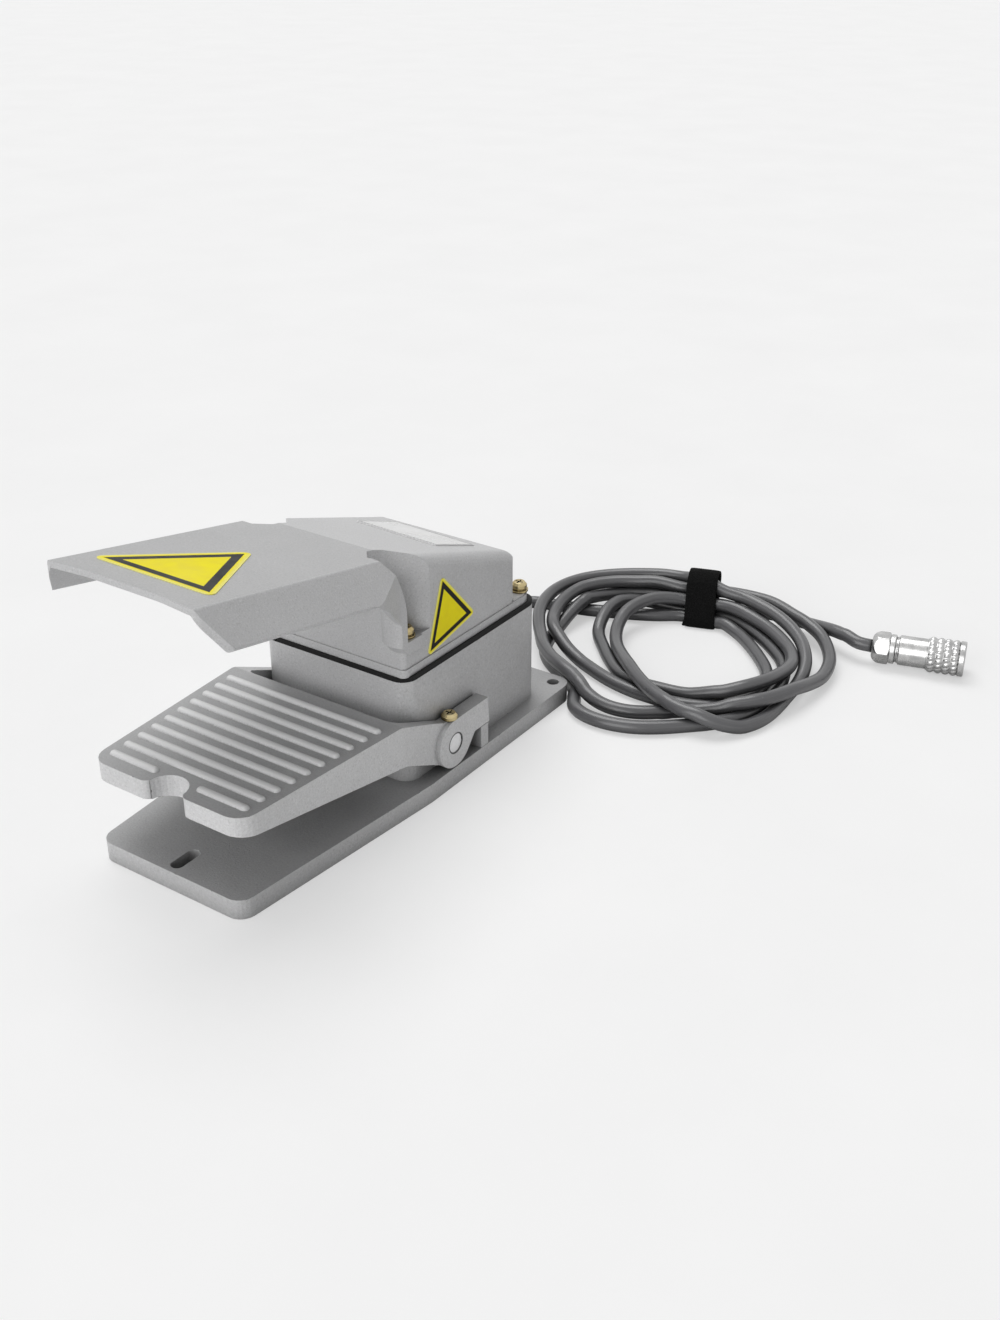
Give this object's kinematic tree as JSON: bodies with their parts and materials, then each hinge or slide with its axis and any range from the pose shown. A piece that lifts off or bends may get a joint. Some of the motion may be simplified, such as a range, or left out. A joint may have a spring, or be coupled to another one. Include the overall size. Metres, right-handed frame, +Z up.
{
  "type": "guarded foot switch",
  "caption": "Die-cast foot switch: a ribbed rocking treadle on a base plate under a toe guard, with a tied coil of cable that ends in a round locking connector.",
  "frame": {"origin": "the middle of the base plate's underside, on the floor", "axes": "+X to the user's right as the foot goes in, +Y from the toe opening to the cable gland, +Z up"},
  "size_m": [0.2783, 0.4111, 0.1522],
  "materials": {
    "casting_enamel": "satin sprayed enamel with a fine sandy grain",
    "black_rubber": "matte",
    "zinc_yellow": "yellow passivated zinc",
    "plate_white": "satin label",
    "sign_yellow": "gloss film with a black border",
    "bush_bronze": "turned bronze",
    "contact_brass": "bright",
    "bright_steel": "bright",
    "black_plastic": "matte",
    "ivory_plastic": "matte",
    "red_plastic": "matte",
    "blue_insulation": "satin",
    "grey_cable": "satin PVC",
    "tie_fabric": "hook-and-loop weave",
    "nickel_plate": "satin nickel plate"
  },
  "bodies": {
    "housing": {"base_housing": "casting_enamel", "cover_gasket": "black_rubber", "cover_hood": "casting_enamel", "cover_screws": "zinc_yellow", "cover_washers": "zinc_yellow", "name_plate": "plate_white", "hood_sticker": "sign_yellow", "side_sticker": "sign_yellow", "shaft_bushes": "bush_bronze", "shaft_seals": "black_rubber", "switch_bracket": "bright_steel", "bracket_screws": "bright_steel", "micro_switch": "black_plastic", "switch_screws": "bright_steel", "terminal_block": "ivory_plastic", "terminal_screws": "bright_steel", "earth_screw": "contact_brass", "inner_leads": "blue_insulation", "gland_body": "black_plastic", "gland_lock_nut": "black_plastic", "gland_seal": "black_rubber", "gland_nut": "black_plastic", "cable_entry": "grey_cable", "return_spring": "bright_steel", "cable_lead": "grey_cable", "cable_coil": "grey_cable", "cable_tie": "tie_fabric", "cable_tail": "grey_cable", "connector_clamp_nut": "nickel_plate", "connector_shell": "nickel_plate", "connector_insert": "black_plastic", "connector_contacts": "contact_brass"},
    "treadle": {"treadle": "casting_enamel", "pivot_shaft": "bright_steel", "treadle_set_screws": "zinc_yellow", "cam_lever": "bright_steel", "cam_screw": "zinc_yellow"},
    "plunger": {"switch_plunger": "red_plastic"},
    "sleeve": {"locking_sleeve": "nickel_plate"}
  },
  "joints": [
    {"name": "treadle_pivot", "type": "hinge", "parent": "housing", "child": "treadle", "pos_m": [0, 0.0175, 0.0233], "axis": [1, 0, 0], "range_deg": [0, 7], "stiffness_Nm_per_rad": 6, "springref_deg": -10, "deforming": ["return_spring"]},
    {"name": "plunger_slide", "type": "slide", "parent": "housing", "child": "plunger", "axis": [0, 0, 1], "range_m": [0, 0.00212]},
    {"name": "sleeve_slide", "type": "slide", "parent": "housing", "child": "sleeve", "axis": [-0.9627, -0.2706, 0], "range_m": [0, 0.0024], "stiffness_N_per_m": 800, "springref_m": -0.002}
  ],
  "couplings": [
    {"joint": "plunger_slide", "follows": "treadle_pivot", "m_per_rad": 0.017}
  ]
}
